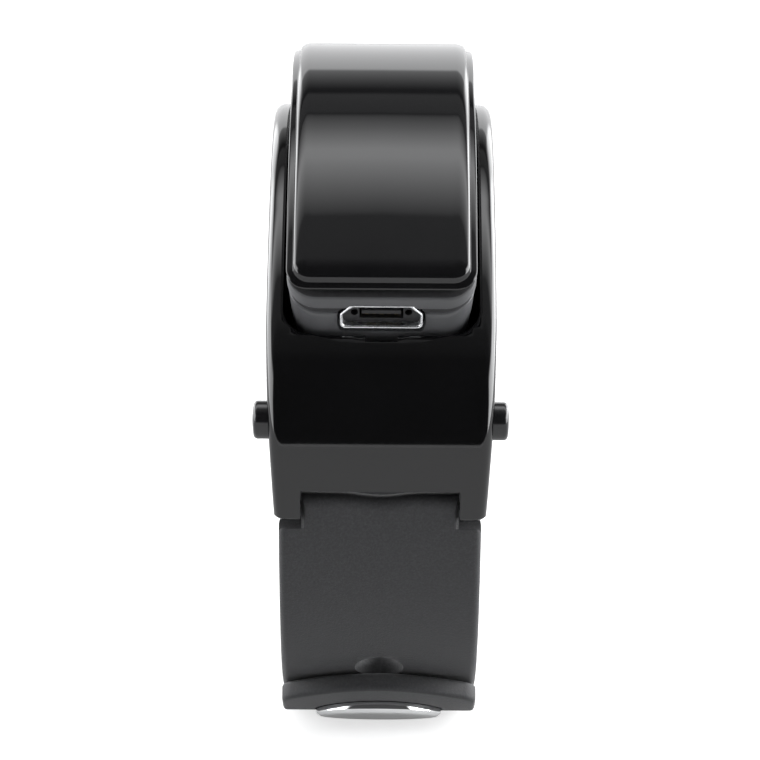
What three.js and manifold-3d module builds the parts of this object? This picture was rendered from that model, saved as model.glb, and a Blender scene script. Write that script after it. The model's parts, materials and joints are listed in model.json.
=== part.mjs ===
// A wrist tracker: a curved electronic module that lifts out of a glossy cradle, worn on a two-part strap.
// Millimetres. X runs across the band, -Y is the charging-port end, +Z is up; the band stands on its strap.
import * as THREE from 'three';
import { mergeVertices } from 'three/addons/utils/BufferGeometryUtils.js';
import Module from 'manifold-3d';

const wasm = await Module();
wasm.setup();

// ---- driving dimensions ----
const GAP = 0.3; // clearance kept between neighbouring pieces
const OVERALL_HEIGHT = 63.5;

// module: concentric arcs about (y 0, z MODULE_Z)
const COVER_TOP_R = 40;
const MODULE_Z = OVERALL_HEIGHT - COVER_TOP_R;
const COVER_LIP_R = 39.1;
const COVER_BASE_R = 38.35;
const SEAM_R = 37;
const MODULE_BASE_R = 31.8;
const MODULE_HALF_WIDTH = 8.45;
const COVER_FACE_HALF_WIDTH = 7.5;
const END_WALL_TILT = 17; // degrees, leaning in towards the wrist
const END_WALL_OFFSET = 20.52; // distance of the end wall's plane from the arc centre
const SHELL_WALL = 1.2;
const SKIRT_OUTER_INSET = 1.5; // the upper shell's skirt hangs inside the lower shell's wall
const SKIRT_INNER_INSET = 2.3;
const MODULE_SCREW_ANGLE = 45.5;
const MODULE_SCREW_X = 5.6;

// charging port, in the end wall
const PORT_DOWN_WALL = 2.93; // from the cover's lip, down the end wall
const PORT_WIDTH = 7.4;
const PORT_HEIGHT = 2.45;
const PORT_DEPTH = 4.5;
const PORT_METAL = 0.3;

// cradle
const CRADLE_HALF_WIDTH = 10.3;
const CRADLE_EAR_HALF_WIDTH = 9.45;
const RAIL_TOP_R = 34.15;
const CRADLE_INNER_R = 29.6;
const RAIL_EASE_ANGLE = 28; // the rails have sunk to RAIL_TOP_R this far from the middle
const CRADLE_FRONT_Y = 33;
const CRADLE_WIDEST_Z = 33.5;
const FACE_ARC_R = 15.7; // the end face leans back along this arc above its widest height
const FACE_ARC_TURN = 40;
const EAR_BOTTOM_Z = 28.7;
const NOTCH_TOP_Z = 31.7;
const NOTCH_HALF_WIDTH = 7.1;
const THUMB_NOTCH = { x: [-1.5, 1.5], y: [-30, -26], z: [42.6, 45] };
const LINER_INNER_R = 28.4;
const LINER_HALF_WIDTH = 8.6;
const LINER_HALF_ANGLE = 70;
const LINER_SCREW_ANGLE = 50;
const LINER_SCREW_X = 6.4;
const PAD_Z = 51.3;
const PAD_HALF_WIDTH = 5;
const PAD_HALF_LENGTH = 6;
const LEAF_OUTER_R = 31.2; // leaf spring under the module
const LEAF_INNER_R = 30.9;
const LEAF_HALF_ANGLE = 14;
const LEAF_HALF_WIDTH = 2.6;

// release buttons, one each side of the port end
const BUTTON_R = 1.72;
const BUTTON_BACK_X = 8.75;
const BUTTON_PROUD_X = 11.45;
const BUTTON_Y = -29.7;
const BUTTON_Z = 37.3;
const TUNNEL_X = [1, 8.8]; // space for the latch slider and its spring
const TUNNEL_Y = [-31.4, -24.5];
const TUNNEL_HALF_HEIGHT = 2;

// strap ring: arcs about (y 0, z RING_Z); angles run from straight down, positive towards the port end
const RING_Z = 34.2;
const STRAP_HALF_WIDTH = 9.05;
const SHOULDER_ANGLE = 79;
const LAP_ANGLE = 45; // the straps reach their radii of the lapped bottom here
const SHOULDER_INNER_R = 30.5;
const SHOULDER_OUTER_R = 32.6;
const FRONT_LAP_INNER_R = 30.2;
const FRONT_LAP_OUTER_R = 32.2;
const REAR_LAP_INNER_R = FRONT_LAP_OUTER_R + GAP;
const REAR_LAP_OUTER_R = RING_Z;
const FRONT_END_ANGLE = -43;
const FLAP_ANGLE = -6;
const FLAP_SLIT_ANGLE = 0.26; // half the slit between the rear strap and its flap
const TIP_ANGLE = 42.2;
const HOLE_STEP_ANGLE = 15.6;
const HOLE_COUNT = 5;
const FLAP_OUTLINE = { angle: 14, halfWidth: 11, straight: 8.6, round: 9.2 }; // the flap's rounded tip
const HOLE_HALF_WIDTH = 2.25;
const HOLE_HALF_LENGTH = 2.4;
const HINGE_Y = 31.1;
const HINGE_Z = 29.8;
const TONGUE_HALF_WIDTH = 6.85;
const BARREL_R = 1.6;
const BAR_R = 0.65;
const BAR_HALF_LENGTH = 6.4;
const PIN_R = 0.4;
const PIN_X = [6.7, 8.5];

// clasp: an oval cap seated in the flap, and a peg behind it
const CLASP_ANGLE = 27;
const CAP_HALF_WIDTH = 5.9;
const CAP_HALF_LENGTH = 4.9;
const CAP_TOP_R = 34.9;
const CAP_BASE_R = 33.8;
const PEG_R = 1.5;
const PEG_HEAD_R = 1.65;
const PEG_INNER_R = 30.35;
const PEG_OUTER_R = 32.6;

// ---- finishes ----
function finish(color, roughness, metalness) {
  return new THREE.MeshStandardMaterial({ color, roughness, metalness });
}
const glossBlack = finish(0x0c0c0e, 0.08, 0);
const mattGrey = finish(0x3a3b3d, 0.6, 0);
const softTouch = finish(0x35363a, 0.85, 0);
const chrome = finish(0xdcdde0, 0.08, 1);
const steel = finish(0xb4b6ba, 0.3, 1);
const boardGreen = finish(0x1d4a33, 0.6, 0);
const chipBlack = finish(0x18181a, 0.5, 0);
const batteryFoil = finish(0xb9bcc2, 0.4, 0.6);
const displayGlass = finish(0x060709, 0.1, 0);
const flexAmber = finish(0x9a5a1c, 0.5, 0);
const linerBlack = finish(0x161618, 0.5, 0);

const group = new THREE.Group();

function add(name, geometry, material, parent = group) {
  const mesh = new THREE.Mesh(geometry, material);
  mesh.name = name;
  parent.add(mesh);
  return mesh;
}

// ---- solids ----
const radians = THREE.MathUtils.degToRad;

function solid(geometry) {
  const bare = geometry.clone();
  bare.deleteAttribute('normal');
  bare.deleteAttribute('uv');
  const merged = mergeVertices(bare, 1e-4);
  return new wasm.Manifold(new wasm.Mesh({
    numProp: 3,
    vertProperties: new Float32Array(merged.attributes.position.array),
    triVerts: new Uint32Array(merged.index.array),
  }));
}

function geometryOf(manifold) {
  const mesh = manifold.getMesh();
  const geometry = new THREE.BufferGeometry();
  geometry.setAttribute('position', new THREE.BufferAttribute(mesh.vertProperties, 3));
  geometry.setIndex(new THREE.BufferAttribute(mesh.triVerts, 1));
  geometry.computeVertexNormals();
  return geometry;
}

function joined(...geometries) {
  return geometryOf(geometries.map(solid).reduce((a, b) => a.add(b)));
}

function cut(geometry, ...tools) {
  return geometryOf(tools.map(solid).reduce((a, b) => a.subtract(b), solid(geometry)));
}

function common(a, b) {
  return geometryOf(solid(a).intersect(solid(b)));
}

// A side view in (y, z), pulled out across X to the given half width, its two rims bevelled.
function acrossBand(points, halfWidth, bevel = 0) {
  const geometry = new THREE.ExtrudeGeometry(new THREE.Shape(points), {
    depth: 2 * (halfWidth - bevel),
    bevelEnabled: bevel > 0,
    bevelThickness: bevel,
    bevelSize: bevel,
    bevelOffset: -bevel,
    bevelSegments: 1,
  });
  const basis = new THREE.Matrix4().makeBasis(
    new THREE.Vector3(0, 1, 0), new THREE.Vector3(0, 0, 1), new THREE.Vector3(1, 0, 0));
  return geometry.applyMatrix4(basis).translate(-halfWidth + bevel, 0, 0);
}

// A front view in (x, z), pulled along Y.
function alongBand(points, yFrom, yTo) {
  const geometry = new THREE.ExtrudeGeometry(
    new THREE.Shape(points), { depth: yTo - yFrom, bevelEnabled: false });
  return geometry.rotateX(Math.PI / 2).translate(0, yTo, 0);
}

function block(xs, ys, zs) {
  const geometry = new THREE.BoxGeometry(xs[1] - xs[0], ys[1] - ys[0], zs[1] - zs[0]);
  return geometry.translate((xs[0] + xs[1]) / 2, (ys[0] + ys[1]) / 2, (zs[0] + zs[1]) / 2);
}

// A range on the positive side of an axis, or its mirror image on the negative side.
function mirrored(range, sign) {
  return sign > 0 ? range : [-range[1], -range[0]];
}

function rodAcross(radius, xs, y, z, sides = 16) {
  const geometry = new THREE.CylinderGeometry(radius, radius, xs[1] - xs[0], sides);
  return geometry.rotateZ(Math.PI / 2).translate((xs[0] + xs[1]) / 2, y, z);
}

function arcPoints(zCentre, radius, from, to, steps) {
  return Array.from({ length: steps + 1 }, (_, i) => {
    const angle = radians(from + ((to - from) * i) / steps);
    return new THREE.Vector2(radius * Math.sin(angle), zCentre + radius * Math.cos(angle));
  });
}

// ---- module outlines ----
// Angle at which the end wall, moved inwards by inset, crosses the circle of this radius.
function endWallAngle(radius, inset) {
  const reach = (END_WALL_OFFSET - inset) / radius;
  return END_WALL_TILT + THREE.MathUtils.radToDeg(Math.asin(reach));
}

function moduleOutline(outerR, innerR, inset, steps = 18) {
  const outer = endWallAngle(outerR, inset);
  const inner = endWallAngle(innerR, inset);
  return [
    ...arcPoints(MODULE_Z, outerR, -outer, outer, steps),
    ...arcPoints(MODULE_Z, innerR, inner, -inner, steps),
  ];
}

function arcBand(outerR, innerR, from, to, halfWidth, steps = 10) {
  return acrossBand([
    ...arcPoints(MODULE_Z, outerR, from, to, steps),
    ...arcPoints(MODULE_Z, innerR, to, from, steps),
  ], halfWidth);
}

// A round rod standing along a radius of the module's arc.
function radialRod(radius, fromR, toR, angle, x, sides = 12) {
  const geometry = new THREE.CylinderGeometry(radius, radius, toR - fromR, sides);
  const middle = (fromR + toR) / 2;
  return geometry.rotateX(Math.PI / 2 - radians(angle)).translate(
    x, middle * Math.sin(radians(angle)), MODULE_Z + middle * Math.cos(radians(angle)));
}

// A screw: head at the inner radius, shank towards the outer one.
function radialScrew(headR, shankR, fromR, headTopR, toR, angle, x) {
  const profile = [
    [0, fromR], [headR * 0.8, fromR], [headR, fromR + 0.12], [headR, headTopR],
    [shankR, headTopR], [shankR, toR - shankR], [0, toR],
  ].map(([r, h]) => new THREE.Vector2(r, h));
  const geometry = new THREE.LatheGeometry(profile, 12);
  return geometry.rotateX(Math.PI / 2 - radians(angle)).translate(x, 0, MODULE_Z);
}

const SCREW_SPOTS = [
  ['front_left', -1, -1], ['front_right', 1, -1], ['rear_left', -1, 1], ['rear_right', 1, 1]];

// ---- charging port frame: x across, y up the end wall, z out of the wall ----
const portTilt = radians(END_WALL_TILT);
const lipAngle = radians(endWallAngle(COVER_LIP_R, 0));
const portCentre = new THREE.Vector3(
  0,
  -COVER_LIP_R * Math.sin(lipAngle) + PORT_DOWN_WALL * Math.sin(portTilt),
  MODULE_Z + COVER_LIP_R * Math.cos(lipAngle) - PORT_DOWN_WALL * Math.cos(portTilt));

function inPortFrame(geometry) {
  return geometry.rotateX(Math.PI / 2 + portTilt).translate(portCentre.x, portCentre.y, portCentre.z);
}

// The socket's outline, narrower on its upper side, grown outwards by grow.
function portOutline(grow) {
  const w = PORT_WIDTH / 2 + grow;
  const h = PORT_HEIGHT / 2 + grow;
  return new THREE.Shape([
    [-w, -h + 0.25], [-w + 0.2, -h], [w - 0.2, -h], [w, -h + 0.25],
    [w, 0.35], [w - 0.9, h], [-w + 0.9, h], [-w, 0.35],
  ].map(([x, y]) => new THREE.Vector2(x, y)));
}

function portPrism(grow, from, to) {
  const geometry = new THREE.ExtrudeGeometry(portOutline(grow), { depth: to - from, bevelEnabled: false });
  return inPortFrame(geometry.translate(0, 0, from));
}

// ---- module ----
function topCover() {
  const lip = acrossBand(moduleOutline(COVER_LIP_R, COVER_BASE_R, 0), MODULE_HALF_WIDTH);
  const rise = COVER_TOP_R - COVER_LIP_R + 0.05;
  const crown = acrossBand(
    moduleOutline(COVER_TOP_R, COVER_LIP_R - 0.05, 0.1), COVER_FACE_HALF_WIDTH + 0.4, rise * 0.45);
  return joined(lip, crown);
}

function upperShell() {
  const ring = cut(
    acrossBand(moduleOutline(COVER_BASE_R - GAP, SEAM_R + GAP / 2, 0), MODULE_HALF_WIDTH),
    acrossBand(
      moduleOutline(COVER_BASE_R + 1, SEAM_R - 1, SKIRT_INNER_INSET), MODULE_HALF_WIDTH - SKIRT_INNER_INSET));
  const skirt = cut(
    acrossBand(
      moduleOutline(COVER_BASE_R - GAP - 0.2, SEAM_R - 1.1, SKIRT_OUTER_INSET),
      MODULE_HALF_WIDTH - SKIRT_OUTER_INSET),
    acrossBand(
      moduleOutline(COVER_BASE_R + 1, SEAM_R - 2, SKIRT_INNER_INSET), MODULE_HALF_WIDTH - SKIRT_INNER_INSET));
  const bosses = SCREW_SPOTS.map(([, sx, sy]) => radialRod(
    1.1, MODULE_BASE_R + SHELL_WALL + GAP, SEAM_R + 0.7, sy * MODULE_SCREW_ANGLE, sx * MODULE_SCREW_X));
  const bores = SCREW_SPOTS.map(([, sx, sy]) =>
    radialRod(0.8, MODULE_BASE_R, SEAM_R, sy * MODULE_SCREW_ANGLE, sx * MODULE_SCREW_X));
  return cut(joined(ring, skirt, ...bosses), ...bores, portPrism(GAP, -PORT_DEPTH, 1));
}

function lowerShell() {
  const tub = cut(
    acrossBand(moduleOutline(SEAM_R - GAP / 2, MODULE_BASE_R, 0), MODULE_HALF_WIDTH, 0.7),
    acrossBand(
      moduleOutline(SEAM_R + 1, MODULE_BASE_R + SHELL_WALL, SHELL_WALL), MODULE_HALF_WIDTH - SHELL_WALL));
  const holes = SCREW_SPOTS.flatMap(([, sx, sy]) => [
    radialRod(0.8, MODULE_BASE_R - 1, MODULE_BASE_R + 2, sy * MODULE_SCREW_ANGLE, sx * MODULE_SCREW_X),
    radialRod(1.25, MODULE_BASE_R - 1, MODULE_BASE_R + 0.8, sy * MODULE_SCREW_ANGLE, sx * MODULE_SCREW_X),
  ]);
  return cut(tub, ...holes, portPrism(GAP, -PORT_DEPTH, 1));
}

function usbShell() {
  return cut(portPrism(0, -PORT_DEPTH, 0), portPrism(-PORT_METAL, -PORT_DEPTH - 1, 1));
}

function usbTongue() {
  return inPortFrame(block([-1.8, 1.8], [-0.05, 0.5], [-PORT_DEPTH + GAP, -0.5]));
}

// Five contact blades joined at the back by one bar.
function usbContacts() {
  const bar = block([-1.6, 1.6], [-0.5, -0.35], [-PORT_DEPTH + GAP, -PORT_DEPTH + 1]);
  const blades = Array.from({ length: 5 }, (_, i) => {
    const x = (i - 2) * 0.65;
    return block([x - 0.2, x + 0.2], [-0.5, -0.35], [-PORT_DEPTH + 0.8, -0.8]);
  });
  return inPortFrame(joined(bar, ...blades));
}

const module = new THREE.Group();
group.add(module);
add('top_cover', topCover(), glossBlack, module);
add('upper_shell', upperShell(), mattGrey, module);
add('lower_shell', lowerShell(), mattGrey, module);
// each inner layer: outer radius, inner radius, first angle, last angle, half width, steps
add('display_panel', arcBand(37.75, 36.95, -24, 24, 5.4), displayGlass, module);
add('display_flex', arcBand(36.6, 36.1, -30, -14, 3, 6), flexAmber, module);
add('main_board', arcBand(35.8, 35.2, -40, 4, 5.6, 14), boardGreen, module);
add('processor_chip', arcBand(34.9, 34.35, -38, -30, 2.4, 4), chipBlack, module);
add('motion_sensor_chip', arcBand(34.9, 34.35, -6, -2, 1.5, 2), chipBlack, module);
add('battery', arcBand(36.6, 33.3, 7, 40, 5.7, 12), batteryFoil, module);
add('vibration_motor', radialRod(3.5, 33.3, 34.9, -20, 0, 24), steel, module);
add('usb_shell', usbShell(), steel, module);
add('usb_tongue', usbTongue(), chipBlack, module);
add('usb_contacts', usbContacts(), steel, module);
SCREW_SPOTS.forEach(([place, sx, sy]) => add(
  `module_screw_${place}`,
  radialScrew(0.95, 0.5, 31.95, 32.3, 36.5, sy * MODULE_SCREW_ANGLE, sx * MODULE_SCREW_X), steel, module));

// ---- cradle ----
// Front half of the outer side view, from the ear's foot up to the rail's end.
function cradleFrontPoints() {
  const points = [];
  const earSteps = 4;
  for (let i = 0; i < earSteps; i += 1) {
    const z = EAR_BOTTOM_Z + ((CRADLE_WIDEST_Z - EAR_BOTTOM_Z) * i) / earSteps;
    points.push([Math.sqrt(CRADLE_FRONT_Y ** 2 - (CRADLE_WIDEST_Z - z) ** 2), z]);
  }
  const faceSteps = 8;
  for (let i = 0; i <= faceSteps; i += 1) {
    const turn = radians((FACE_ARC_TURN * i) / faceSteps);
    points.push([
      CRADLE_FRONT_Y - FACE_ARC_R * (1 - Math.cos(turn)), CRADLE_WIDEST_Z + FACE_ARC_R * Math.sin(turn)]);
  }
  return points;
}

// The rails, which sink from the end faces' tops to RAIL_TOP_R.
function railPoints(fromR, fromAngle) {
  const steps = 26;
  return Array.from({ length: steps - 1 }, (_, i) => {
    const angle = fromAngle * ((2 * (i + 1)) / steps - 1);
    const ease = THREE.MathUtils.clamp(
      (Math.abs(angle) - RAIL_EASE_ANGLE) / (fromAngle - RAIL_EASE_ANGLE), 0, 1);
    const radius = RAIL_TOP_R + (fromR - RAIL_TOP_R) * ease;
    return new THREE.Vector2(
      radius * Math.sin(radians(angle)), MODULE_Z + radius * Math.cos(radians(angle)));
  });
}

function cradleOutline() {
  const side = cradleFrontPoints();
  const [topY, topZ] = side[side.length - 1];
  const railAngle = THREE.MathUtils.radToDeg(Math.atan2(topY, topZ - MODULE_Z));
  const footAngle = THREE.MathUtils.radToDeg(Math.acos((EAR_BOTTOM_Z - MODULE_Z) / CRADLE_INNER_R));
  return [
    ...side.map(([y, z]) => new THREE.Vector2(-y, z)),
    ...railPoints(Math.hypot(topY, topZ - MODULE_Z), railAngle),
    ...side.slice().reverse().map(([y, z]) => new THREE.Vector2(y, z)),
    ...arcPoints(MODULE_Z, CRADLE_INNER_R, footAngle, -footAngle, 24),
  ];
}

// Front view of the cradle: widest at the rails and narrowing to the ears; each point is half width, height.
function cradleFrontView() {
  const side = [
    [CRADLE_EAR_HALF_WIDTH, EAR_BOTTOM_Z - 1],
    [CRADLE_EAR_HALF_WIDTH + 0.25, EAR_BOTTOM_Z + 1.8],
    [CRADLE_HALF_WIDTH - 0.25, EAR_BOTTOM_Z + 6.8],
    [CRADLE_HALF_WIDTH, EAR_BOTTOM_Z + 12.8],
    [CRADLE_HALF_WIDTH, EAR_BOTTOM_Z + 20.8],
    [CRADLE_HALF_WIDTH - 0.15, EAR_BOTTOM_Z + 30.8],
  ];
  return [
    ...side.map(([x, z]) => new THREE.Vector2(x, z)),
    ...side.slice().reverse().map(([x, z]) => new THREE.Vector2(-x, z)),
  ];
}

function latchTunnel(sx) {
  const bore = [BUTTON_BACK_X - 0.25, BUTTON_PROUD_X + 0.8];
  return joined(
    block(mirrored(TUNNEL_X, sx), TUNNEL_Y, [BUTTON_Z - TUNNEL_HALF_HEIGHT, BUTTON_Z + TUNNEL_HALF_HEIGHT]),
    rodAcross(BUTTON_R + GAP, mirrored(bore, sx), BUTTON_Y, BUTTON_Z));
}

function hingeNotch(sy) {
  const ys = mirrored([CRADLE_FRONT_Y - 5, CRADLE_FRONT_Y + 2], sy);
  return block([-NOTCH_HALF_WIDTH, NOTCH_HALF_WIDTH], ys, [EAR_BOTTOM_Z - 2, NOTCH_TOP_Z]);
}

function cradleShell() {
  const body = common(
    acrossBand(cradleOutline(), CRADLE_HALF_WIDTH, 0.7), alongBand(cradleFrontView(), -40, 40));
  const pocket = acrossBand(
    moduleOutline(COVER_TOP_R + 6, MODULE_BASE_R - GAP, -GAP), MODULE_HALF_WIDTH + 0.35);
  const leafSeat = arcBand(
    MODULE_BASE_R, LEAF_INNER_R - GAP, -LEAF_HALF_ANGLE - 2, LEAF_HALF_ANGLE + 2, LEAF_HALF_WIDTH + 0.4, 6);
  const thumbNotch = block(THUMB_NOTCH.x, THUMB_NOTCH.y, THUMB_NOTCH.z);
  const blindHoles = SCREW_SPOTS.map(([, sx, sy]) =>
    radialRod(0.8, CRADLE_INNER_R - 1, 31, sy * LINER_SCREW_ANGLE, sx * LINER_SCREW_X));
  const barHoles = [-1, 1].flatMap((sy) => [-1, 1].map((sx) => rodAcross(
    PIN_R + GAP, mirrored([NOTCH_HALF_WIDTH - 0.1, PIN_X[1] + GAP], sx), sy * HINGE_Y, HINGE_Z, 12)));
  return cut(
    body, pocket, leafSeat, thumbNotch, hingeNotch(-1), hingeNotch(1),
    latchTunnel(-1), latchTunnel(1), ...blindHoles, ...barHoles);
}

// Wrist-side plate, with a flat pad in its middle.
function cradleLiner() {
  const plate = acrossBand([
    ...arcPoints(MODULE_Z, CRADLE_INNER_R - GAP, -LINER_HALF_ANGLE, LINER_HALF_ANGLE, 20),
    ...arcPoints(MODULE_Z, LINER_INNER_R, LINER_HALF_ANGLE, -LINER_HALF_ANGLE, 20),
  ], LINER_HALF_WIDTH);
  const holes = SCREW_SPOTS.flatMap(([, sx, sy]) => [
    radialRod(0.8, LINER_INNER_R - 1, CRADLE_INNER_R, sy * LINER_SCREW_ANGLE, sx * LINER_SCREW_X),
    radialRod(1.2, LINER_INNER_R - 1, LINER_INNER_R + 0.6, sy * LINER_SCREW_ANGLE, sx * LINER_SCREW_X),
  ]);
  const pad = block(
    [-PAD_HALF_WIDTH, PAD_HALF_WIDTH], [-PAD_HALF_LENGTH, PAD_HALF_LENGTH],
    [PAD_Z, MODULE_Z + LINER_INNER_R + 0.3]);
  return cut(joined(plate, pad), ...holes);
}

add('cradle_shell', cradleShell(), glossBlack);
add('cradle_liner', cradleLiner(), linerBlack);
add('eject_spring', arcBand(
  LEAF_OUTER_R, LEAF_INNER_R, -LEAF_HALF_ANGLE, LEAF_HALF_ANGLE, LEAF_HALF_WIDTH, 8), steel);
SCREW_SPOTS.forEach(([place, sx, sy]) => add(
  `liner_screw_${place}`,
  radialScrew(0.85, 0.5, 28.45, 28.7, 30.7, sy * LINER_SCREW_ANGLE, sx * LINER_SCREW_X), steel));

[['front', -1], ['rear', 1]].forEach(([end, sy]) => {
  const tube = rodAcross(BAR_R, [-BAR_HALF_LENGTH, BAR_HALF_LENGTH], sy * HINGE_Y, HINGE_Z, 14);
  add(`${end}_spring_bar`, tube, steel);
  add(`${end}_bar_pin_left`, rodAcross(PIN_R, mirrored(PIN_X, -1), sy * HINGE_Y, HINGE_Z, 10), steel);
  add(`${end}_bar_pin_right`, rodAcross(PIN_R, PIN_X, sy * HINGE_Y, HINGE_Z, 10), steel);
});

// ---- release buttons ----
function buttonCap() {
  const profile = [
    [0, BUTTON_BACK_X], [BUTTON_R - 0.1, BUTTON_BACK_X], [BUTTON_R, BUTTON_BACK_X + 0.1],
    [BUTTON_R, BUTTON_PROUD_X - 0.45],
    [BUTTON_R - 0.12, BUTTON_PROUD_X - 0.18], [BUTTON_R - 0.4, BUTTON_PROUD_X - 0.06], [0, BUTTON_PROUD_X],
  ].map(([r, h]) => new THREE.Vector2(r, h));
  return new THREE.LatheGeometry(profile, 24).rotateZ(-Math.PI / 2);
}

const SPRING_TURNS = 4;

class SpringPath extends THREE.Curve {
  getPoint(t, target = new THREE.Vector3()) {
    const angle = t * 2 * Math.PI * SPRING_TURNS;
    return target.set(1.55 + 3 * t, 0.8 * Math.cos(angle), 0.8 * Math.sin(angle));
  }
}

function latchSpring() {
  const wire = new THREE.Shape();
  wire.absarc(0, 0, 0.14, 0, 2 * Math.PI);
  return new THREE.ExtrudeGeometry(
    wire, { steps: 45, curveSegments: 3, bevelEnabled: false, extrudePath: new SpringPath() });
}

[['left', -1], ['right', 1]].forEach(([side, sx]) => {
  const place = (mesh) => {
    mesh.position.set(0, BUTTON_Y, BUTTON_Z);
    mesh.rotation.z = sx > 0 ? 0 : Math.PI;
  };
  place(add(`release_button_${side}`, buttonCap(), glossBlack));
  place(add(`latch_slider_${side}`, block([5, 8.4], [-1.25, 1.25], [-1.6, 1.6]), mattGrey));
  place(add(`latch_spring_${side}`, latchSpring(), steel));
});

// ---- straps ----
function ringPoint(radius, angle) {
  return new THREE.Vector2(
    -radius * Math.sin(radians(angle)), RING_Z - radius * Math.cos(radians(angle)));
}

// A strip of strap between two angles; inner and outer give the radius at each angle.
function strapStrip(from, to, inner, outer, halfWidth, steps, bevel = 0) {
  const angles = Array.from({ length: steps + 1 }, (_, i) => from + ((to - from) * i) / steps);
  return acrossBand([
    ...angles.map((a) => ringPoint(outer(a), a)),
    ...angles.slice().reverse().map((a) => ringPoint(inner(a), a)),
  ], halfWidth, bevel);
}

// A flat outline (x across, y along the strap towards the port end), pulled along the radius at this angle.
function throughStrap(shape, angle, fromR, toR) {
  const geometry = new THREE.ExtrudeGeometry(
    shape, { depth: toR - fromR, bevelEnabled: false, curveSegments: 9 });
  geometry.translate(0, 0, fromR);
  return geometry.rotateX(Math.PI - radians(angle)).translate(0, 0, RING_Z);
}

function oval(halfX, halfY) {
  const shape = new THREE.Shape();
  shape.absellipse(0, 0, halfX, halfY, 0, 2 * Math.PI);
  return shape;
}

// A long flat outline that ends in the tip of an oval on the side that sign points to.
function tipOutline(halfWidth, straight, round, sign) {
  const points = [[-halfWidth, -sign * 60], [halfWidth, -sign * 60]];
  for (let i = 0; i <= 12; i += 1) {
    const angle = (Math.PI * i) / 12;
    points.push([halfWidth * Math.cos(angle), sign * (straight + round * Math.sin(angle))]);
  }
  return new THREE.Shape(points.map(([x, y]) => new THREE.Vector2(x, y)));
}

// A radius that eases from its value at the shoulders to its value in the lapped bottom.
function easedRadius(shoulderR, lapR) {
  return (angle) => shoulderR
    + (lapR - shoulderR) * (1 - THREE.MathUtils.smoothstep(Math.abs(angle), LAP_ANGLE, SHOULDER_ANGLE));
}

const frontInner = easedRadius(SHOULDER_INNER_R, FRONT_LAP_INNER_R);
const frontOuter = easedRadius(SHOULDER_OUTER_R, FRONT_LAP_OUTER_R);
const rearInner = easedRadius(SHOULDER_INNER_R, REAR_LAP_INNER_R);
const rearOuter = easedRadius(SHOULDER_OUTER_R, REAR_LAP_OUTER_R);

function tongue(sy) {
  const angle = THREE.MathUtils.radToDeg(Math.atan2(HINGE_Y, RING_Z - HINGE_Z));
  const plate = strapStrip(
    -sy * (SHOULDER_ANGLE - 1), -sy * angle, () => SHOULDER_INNER_R + 0.1, () => SHOULDER_OUTER_R - 0.1,
    TONGUE_HALF_WIDTH, 2);
  const barrel = rodAcross(BARREL_R, [-TONGUE_HALF_WIDTH, TONGUE_HALF_WIDTH], sy * HINGE_Y, HINGE_Z);
  return joined(plate, barrel);
}

function barBore(sy) {
  return rodAcross(BAR_R + GAP, [-STRAP_HALF_WIDTH, STRAP_HALF_WIDTH], sy * HINGE_Y, HINGE_Z, 16);
}

function frontStrap() {
  const strip = strapStrip(
    SHOULDER_ANGLE, FRONT_END_ANGLE, frontInner, frontOuter, STRAP_HALF_WIDTH, 26, 0.3);
  const rounding = throughStrap(tipOutline(STRAP_HALF_WIDTH + 0.1, -1.4, 8.6, -1), -30, 10, 40);
  const farHalf = block([-20, 20], [-2, 40], [-10, 40]);
  const trimmed = geometryOf(solid(strip).subtract(solid(farHalf).subtract(solid(rounding))));
  const holes = Array.from({ length: HOLE_COUNT }, (_, i) => throughStrap(
    oval(HOLE_HALF_WIDTH, HOLE_HALF_LENGTH), CLASP_ANGLE + HOLE_STEP_ANGLE * (1 - i), 28, 36));
  return cut(joined(trimmed, tongue(-1)), ...holes, barBore(-1));
}

// The rear strap drops outwards past the end of the front strap, so that it can lap over it.
function rearStrap() {
  const strip = strapStrip(
    -SHOULDER_ANGLE, FLAP_ANGLE - FLAP_SLIT_ANGLE, rearInner, rearOuter, STRAP_HALF_WIDTH, 18, 0.3);
  return cut(joined(strip, tongue(1)), barBore(1));
}

function rearStrapEnd() {
  const strip = strapStrip(
    FLAP_ANGLE + FLAP_SLIT_ANGLE, TIP_ANGLE, () => REAR_LAP_INNER_R, () => REAR_LAP_OUTER_R,
    STRAP_HALF_WIDTH - 0.1, 15, 0.25);
  const { angle, halfWidth, straight, round } = FLAP_OUTLINE;
  const outline = throughStrap(tipOutline(halfWidth, straight, round, 1), angle, 20, 40);
  const seat = throughStrap(
    oval(CAP_HALF_WIDTH + GAP, CAP_HALF_LENGTH + GAP), CLASP_ANGLE, CAP_BASE_R - GAP, 40);
  const hole = throughStrap(oval(1.8, 1.8), CLASP_ANGLE, 30, 36);
  return cut(common(strip, outline), seat, hole);
}

// Domed oval cap with a short stem that goes into the strap.
function claspCap() {
  const layers = [
    [CAP_BASE_R, 0], [CAP_TOP_R - 0.45, 0], [CAP_TOP_R - 0.15, -0.35], [CAP_TOP_R, -1.1]];
  const slabs = layers.slice(0, -1).map(([r, shrink], i) => throughStrap(
    oval(CAP_HALF_WIDTH + shrink, CAP_HALF_LENGTH + shrink),
    CLASP_ANGLE, r - (i ? 0.05 : 0), layers[i + 1][0]));
  return joined(...slabs, throughStrap(oval(1.2, 1.2), CLASP_ANGLE, PEG_OUTER_R + GAP, CAP_BASE_R + 0.2));
}

function claspPeg() {
  return joined(
    throughStrap(oval(PEG_R, PEG_R), CLASP_ANGLE, PEG_INNER_R + 0.15, PEG_OUTER_R),
    throughStrap(oval(PEG_HEAD_R, PEG_HEAD_R), CLASP_ANGLE, PEG_INNER_R, PEG_INNER_R + 0.55));
}

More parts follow.
